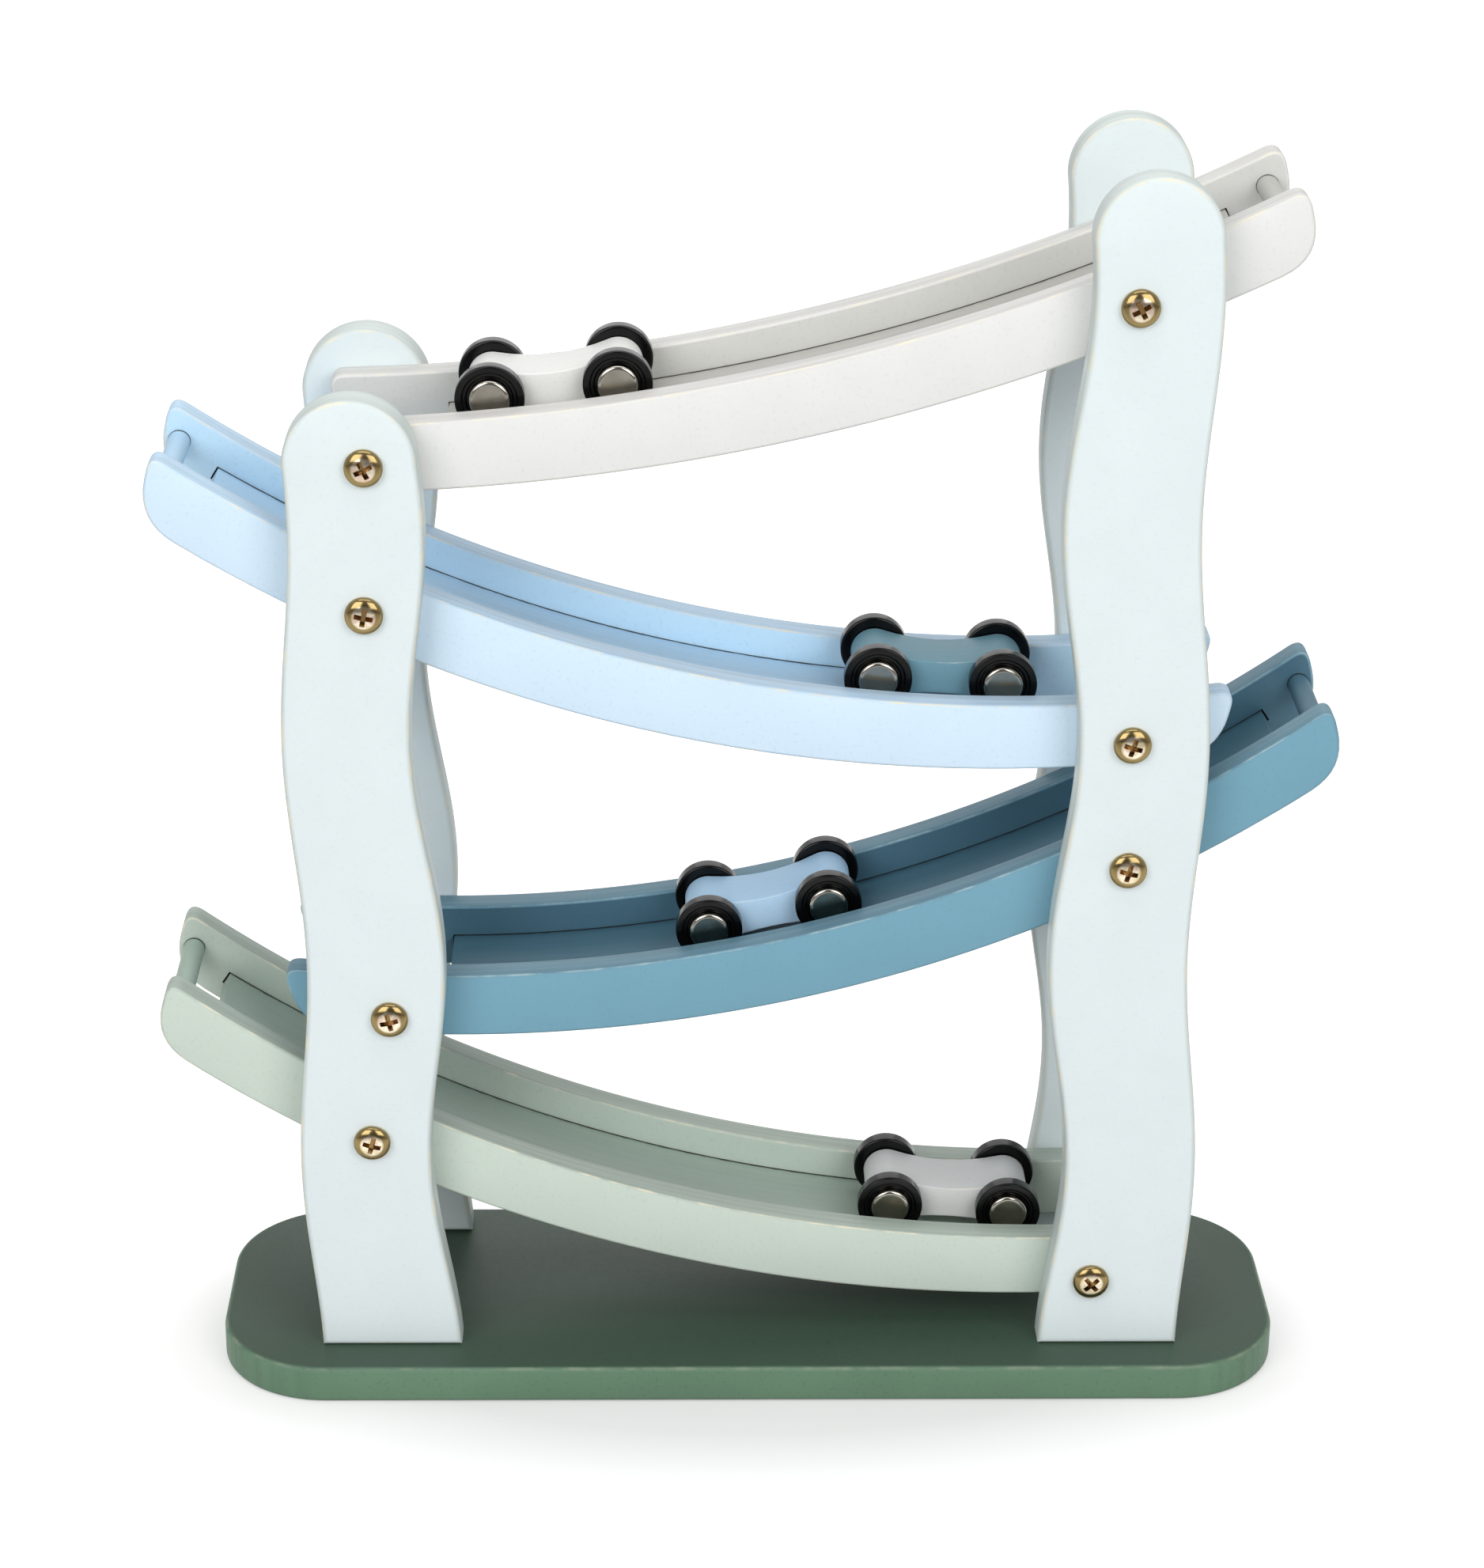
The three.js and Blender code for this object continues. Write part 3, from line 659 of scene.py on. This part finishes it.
def screw_tree():
    """Sets one screw on every point, driven in one direction and stopped at a random turn."""
    tree = bpy.data.node_groups.new("set_screws", "GeometryNodeTree")
    sockets = (
        ("Points", "INPUT", "Geometry"), ("Screw", "INPUT", "Object"), ("Facing", "INPUT", "Vector"),
        ("Size", "INPUT", "Float"), ("Seed", "INPUT", "Int"), ("Finish", "INPUT", "Material"),
        ("Screws", "OUTPUT", "Geometry"),
    )
    for label, way, kind in sockets:
        tree.interface.new_socket(label, in_out=way, socket_type=f"NodeSocket{kind}")
    given = add(tree, "NodeGroupInput").outputs
    screw = add(tree, "GeometryNodeObjectInfo", {"Object": given["Screw"]}).outputs["Geometry"]
    facing = add(tree, "FunctionNodeEulerToRotation", {0: given["Facing"]}).outputs[0]
    placed = add(tree, "GeometryNodeInstanceOnPoints", {
        "Points": given["Points"], "Instance": screw, "Rotation": facing, "Scale": given["Size"],
    }).outputs[0]
    # A float random value's lower and upper ends are inputs 2 and 3.
    stop = add(tree, "FunctionNodeRandomValue", {
        2: 0.0, 3: math.pi / 2, "Seed": given["Seed"]}, data_type="FLOAT").outputs[1]
    spin = add(tree, "ShaderNodeCombineXYZ", {"Y": stop}).outputs[0]
    spin = add(tree, "FunctionNodeEulerToRotation", {0: spin}).outputs[0]
    driven = add(tree, "GeometryNodeRotateInstances", {
        "Instances": placed, "Rotation": spin, "Local Space": True}).outputs[0]
    real = add(tree, "GeometryNodeRealizeInstances", {0: driven}).outputs[0]
    done = add(tree, "GeometryNodeSetMaterial", {"Geometry": real, "Material": given["Finish"]}).outputs[0]
    add(tree, "NodeGroupOutput", {"Screws": done})
    return tree


def set_screws(name, tree, pattern, points, facing, seed):
    """The screws on a set of points as one plain mesh."""
    places = bpy.data.meshes.new(name)
    places.from_pydata([Vector(p) * MM for p in points], [], [])
    host = bpy.data.objects.new("screw_places", places)
    sample = bpy.data.objects.new("screw_sample", pattern)
    for thing in (host, sample):
        bpy.context.scene.collection.objects.link(thing)
    modifier = host.modifiers.new("screws", "NODES")
    modifier.node_group = tree
    values = {"Screw": sample, "Facing": facing, "Size": 1.0, "Seed": seed, "Finish": FINISHES["zinc"]}
    for socket in tree.interface.items_tree:
        if socket.name in values:
            modifier[socket.identifier] = values[socket.name]
    graph = bpy.context.evaluated_depsgraph_get()
    result = bpy.data.meshes.new_from_object(host.evaluated_get(graph), depsgraph=graph)
    for thing in (host, sample):
        bpy.data.objects.remove(thing)
    return result


def wheel_mesh():
    """A stepped wheel with its hub side at depth 0 and its dished side to the back."""
    radius, width, bore, slope = WHEEL["radius"], WHEEL["width"], WHEEL["bore"], WHEEL["slope"]
    step, dish = WHEEL["step_radius"], WHEEL["dish_radius"]
    ledge = width - WHEEL["step_depth"]
    floor = width - WHEEL["dish"]
    tread = soften([(bore, 0), (radius, 0), (radius, width), (step + WHEEL["joint"], width)], WHEEL["edge"])
    steps = soften([
        (step + WHEEL["lip"], width), (step, width), (step - slope, ledge),
        (dish, ledge), (dish - slope, floor), (bore, floor),
    ], WHEEL["ease"])
    return turned("wheel", tread + steps, closed=True)


def axle_mesh():
    """An axle with a pressed cap on each end: a flat disc inside a rounded shoulder."""
    face = CAR["width"] / 2 + WHEEL["gap"] + WHEEL["width"]
    seat = face - WHEEL["dish"] + FIT
    end = face + AXLE["proud"]
    run = AXLE["cap_radius"] - AXLE["disc_radius"]
    shoulder = [
        (AXLE["disc_radius"] + run * math.cos(a), end - AXLE["dome"] + AXLE["dome"] * math.sin(a))
        for a in np.linspace(0, math.pi / 2, ROUND_STEPS)
    ]
    disc = end - AXLE["sunk"]
    half = [
        (AXLE["radius"], seat), (AXLE["cap_radius"], seat), *shoulder,
        (AXLE["disc_radius"] - AXLE["step"], disc), (0, disc),
    ]
    mirrored = [(r, -d) for r, d in half][::-1]
    return turned("axle", mirrored + half)


def dowel_mesh():
    half = RAIL["inner"] + DOWEL["seat"]
    radius, edge = DOWEL["radius"], DOWEL["edge"]
    return turned("dowel", [
        (0, -half), (radius - edge, -half), (radius, -half + edge),
        (radius, half - edge), (radius - edge, half), (0, half),
    ])


def build_stand():
    setback = TOWER["setback"]
    new_piece("base_board", base_mesh(), "stand", "base_paint", ["base"])
    for side_index, side in enumerate(HEADROOM):
        outline = post_outline(side_index)
        faces = {"front": (-POST_OUTER, -RAIL["outer"]), "back": (RAIL["outer"], POST_OUTER)}
        for end, (near, far) in faces.items():
            mesh = board(f"{end}_{side}_post", outline, near + setback, far + setback, POST["edge"])
            new_piece(f"{end}_{side}_post", mesh, "stand", "post_paint", [f"post_{end}_{side}"])
    tree = screw_tree()
    pan = pan_head_screw()
    heights = [screw_point(ramp, i) for i in (0, 1) for ramp in RAMPS]
    front = [(x, setback - POST_OUTER, z) for x, z in heights]
    back = [(x, setback + POST_OUTER, z) for x, z in heights]
    mesh = set_screws("front_screws", tree, pan, front, (0, 0, 0), seed=4)
    nodes = [f"screw_{side}_{n}" for side in HEADROOM for n in (1, 2, 3, 4)]
    new_piece("front_screws", mesh, "stand", "zinc", nodes)
    mesh = set_screws("back_screws", tree, pan, back, (0, 0, math.pi), seed=9)
    new_piece("back_screws", mesh, "stand", "zinc")
    under = [(x, y, BASE_SCREW["sunk"]) for x, y, _ in base_screw_points()]
    mesh = set_screws("base_screws", tree, flat_head_screw(), under, (math.pi / 2, 0, 0), seed=2)
    new_piece("base_screws", mesh, "stand", "zinc")


def build_ramp(number, ramp):
    setback, slot = TOWER["setback"], f"ramp_{number}_paint"
    upper = upper_end(ramp)
    start, end = ramp["lower"] + ramp["drop_gap"], upper - FLOOR["upper_inset"]
    top, bottom = FLOOR["drop"], FLOOR["drop"] + FLOOR["thickness"]
    half = RAIL["inner"] + FLOOR["tongue"]
    mesh = board(f"ramp_{number}_floor_board", band_outline(ramp, start, end, top, bottom),
                 setback - half, setback + half, FLOOR["edge"])
    new_piece(f"ramp_{number}_floor_board", mesh, "stand", slot, [f"ramp_{number}_floor"],
              SHADED_FLOOR_FINISHES[number - 1])
    x, z = ramp_point(ramp, upper - DOWEL["inset"], DOWEL["drop"])
    # The dowel takes its floor's darker colour: painted shade.
    new_piece(f"ramp_{number}_stop_dowel", moved(dowel_mesh(), x, setback, z), "stand", slot,
              [f"ramp_{number}_dowel"], SHADED_FLOOR_FINISHES[number - 1])
    for side_name, side in (("front", -1), ("back", 1)):
        near, far = sorted((side * RAIL["inner"], side * RAIL["outer"]))
        name = f"ramp_{number}_{side_name}_rail"
        stock = board(name, rail_outline(ramp), near + setback, far + setback, RAIL["edge"])
        stock.materials.append(FINISHES[slot])
        gap = FLOOR["groove_gap"]
        groove = board("groove", band_outline(
            ramp, start - FIT, end + FLOOR["groove_over"], top - gap, bottom + gap),
            setback - half - FIT, setback + half + FIT, FLOOR["edge"])
        # The groove and the socket take the near-black painted shade.
        groove.materials.append(GROOVE_SHADE_FINISH)
        reach, bore = RAIL["inner"] + DOWEL["seat"] + FIT, DOWEL["radius"] + DOWEL["play"]
        socket = turned("socket", [(0, -reach), (bore, -reach), (bore, reach), (0, reach)])
        socket.materials.append(GROOVE_SHADE_FINISH)
        mesh = mark_inner(cut(stock, groove, moved(socket, x, setback, z)))
        new_piece(name, mesh, "stand", slot, [f"ramp_{number}_rail_{side_name}"])


def build_car(number, ramp):
    setback, body, half = TOWER["setback"], f"car_{number}", CAR["wheelbase"] / 2
    mesh = board(f"car_{number}_hull", on_ramp(ramp, car_outline()), setback - CAR["width"] / 2,
                 setback + CAR["width"] / 2, CAR["edge"])
    new_piece(f"car_{number}_hull", mesh, body, f"car_{number}_paint", [f"car_{number}_body"])
    for place, along in (("left", -half), ("right", half)):
        x, z = on_ramp(ramp, [(along, 0)])[0]
        new_piece(f"car_{number}_{place}_axle_pin", moved(axle_mesh(), x, setback, z), body, "steel",
                  [f"car_{number}_axle_{place}"])
        for end, side in (("front", -1), ("back", 1)):
            name = f"car_{number}_wheel_{end}_{place}"
            off = setback + side * (CAR["width"] / 2 + WHEEL["gap"])
            mesh = moved(wheel_mesh(), x, off, z, half_turn=side < 0)
            new_piece(f"car_{number}_{end}_{place}_wheel", mesh, name, "wheel_black", [name])


def build_studio():
    """A white floor that keeps the track's shadow, soft lights, and a sky whose front mirrors dimly."""
    scene = bpy.context.scene
    scene.view_settings.view_transform = "Standard"
    mesh = bpy.data.meshes.new("studio_floor")
    far, near, wide = 6000, -2500, 4000
    corners = ((-wide, near, 0), (wide, near, 0), (wide, far, 0), (-wide, far, 0))
    mesh.from_pydata([Vector(p) * MM for p in corners], [], [(0, 1, 2, 3)])
    floor = bpy.data.objects.new("studio_floor", mesh)
    scene.collection.objects.link(floor)
    paper = bpy.data.materials.new("white_paper")
    paper.use_nodes = True
    tree = paper.node_tree
    tree.nodes.clear()
    matte = add(tree, "ShaderNodeBsdfDiffuse", {"Color": linear("#C4C4C3")}).outputs[0]
    ray = add(tree, "ShaderNodeLightPath").outputs
    seen = add(tree, "ShaderNodeMath", {
        0: ray["Is Camera Ray"], 1: ray["Is Glossy Ray"]}, operation="MAXIMUM").outputs[0]
    seen = add(tree, "ShaderNodeMath", {
        0: seen, 1: ray["Is Transmission Ray"]}, operation="MAXIMUM").outputs[0]
    spot = add(tree, "ShaderNodeTexCoord").outputs["Object"]
    # The floor glows less in an oval about the base, so that the base's shadow shows there.
    oval = add(tree, "ShaderNodeMapping", {
        "Vector": spot, "Location": (0, 20 * MM, 0), "Scale": (0.38, 1, 1)}).outputs[0]
    far_off = add(tree, "ShaderNodeVectorMath", {0: oval}, operation="LENGTH").outputs["Value"]
    level = add(tree, "ShaderNodeMapRange", {
        "Value": far_off, "From Min": 30 * MM, "From Max": 85 * MM, "To Min": 0.3, "To Max": 0.8}).outputs[0]
    # Mirrored in metal and wheels, the floor in front fades into the dim side of the room.
    before = add(tree, "ShaderNodeSeparateXYZ", {0: spot}).outputs["Y"]
    dim = add(tree, "ShaderNodeMapRange", {
        "Value": before, "From Min": -500 * MM, "From Max": -120 * MM, "To Min": 0.1}).outputs[0]
    mirrored = add(tree, "ShaderNodeMix", {0: ray["Is Glossy Ray"], 2: 1.0, 3: dim}).outputs[0]
    level = add(tree, "ShaderNodeMath", {0: level, 1: mirrored}, operation="MULTIPLY").outputs[0]
    lift = add(tree, "ShaderNodeMath", {0: seen, 1: level}, operation="MULTIPLY").outputs[0]
    glow = add(tree, "ShaderNodeEmission", {"Strength": lift}).outputs[0]
    both = add(tree, "ShaderNodeAddShader", {0: matte, 1: glow}).outputs[0]
    add(tree, "ShaderNodeOutputMaterial", {"Surface": both})
    mesh.materials.append(paper)

    world = bpy.data.worlds.new("studio_sky")
    scene.world = world
    world.use_nodes = True
    tree = world.node_tree
    tree.nodes.clear()
    ray = add(tree, "ShaderNodeLightPath").outputs
    seen = add(tree, "ShaderNodeMath", {
        0: ray["Is Camera Ray"], 1: ray["Is Glossy Ray"]}, operation="MAXIMUM").outputs[0]
    seen = add(tree, "ShaderNodeMath", {
        0: seen, 1: ray["Is Transmission Ray"]}, operation="MAXIMUM").outputs[0]
    toward = add(tree, "ShaderNodeTexCoord").outputs["Generated"]
    front = add(tree, "ShaderNodeSeparateXYZ", {0: toward}).outputs["Y"]
    dim = add(tree, "ShaderNodeMapRange", {
        "Value": front, "From Min": -0.9, "From Max": -0.2, "To Min": 0.2, "To Max": 0.8}).outputs[0]
    mirrored = add(tree, "ShaderNodeMix", {0: ray["Is Glossy Ray"], 2: 1.0, 3: dim}).outputs[0]
    fill = 0.336
    strength = add(tree, "ShaderNodeMix", {0: seen, 2: fill, 3: mirrored}).outputs[0]
    sky = add(tree, "ShaderNodeBackground", {
        "Color": linear("#FFFFFF"), "Strength": strength}).outputs[0]
    add(tree, "ShaderNodeOutputWorld", {"Surface": sky})

    # Name, place and size in mm, and power in watts.
    lights = (
        ("left_softbox", (-700, -1100, 850), 900, 9.6),
        ("right_softbox", (700, -1100, 850), 900, 9),
        ("top_softbox", (0, 0, 1500), 1200, 8),
        ("back_softbox", (0, 1300, 700), 900, 2),
    )
    tower_middle = Vector((0, 0, 120)) * MM
    for name, place, size, power in lights:
        lamp = bpy.data.lights.new(name, "AREA")
        lamp.size = size * MM
        lamp.energy = power
        light = bpy.data.objects.new(name, lamp)
        light.location = Vector(place) * MM
        aim = tower_middle - light.location
        light.rotation_euler = aim.to_track_quat("-Z", "Y").to_euler()
        scene.collection.objects.link(light)


def build_camera():
    yaw, pitch, roll = (math.radians(CAMERA[key]) for key in ("yaw", "pitch", "roll"))
    forward = Vector((math.sin(yaw) * math.cos(pitch), math.cos(yaw) * math.cos(pitch), -math.sin(pitch)))
    right = forward.cross(Vector((0, 0, 1))).normalized()
    down = forward.cross(right)
    across = math.cos(roll) * right + math.sin(roll) * down
    below = math.cos(roll) * down - math.sin(roll) * right
    lens = bpy.data.cameras.new("camera")
    lens.lens = CAMERA["lens"]
    camera = bpy.data.objects.new("camera", lens)
    turn = Matrix((across, -below, -forward)).transposed()
    camera.matrix_world = Matrix.Translation(Vector(CAMERA["place"]) * MM) @ turn.to_4x4()
    bpy.context.scene.collection.objects.link(camera)
    bpy.context.scene.camera = camera


build_studio()
build_camera()
build_stand()
for ramp_number, ramp_sizes in enumerate(RAMPS, 1):
    build_ramp(ramp_number, ramp_sizes)
    build_car(ramp_number, ramp_sizes)
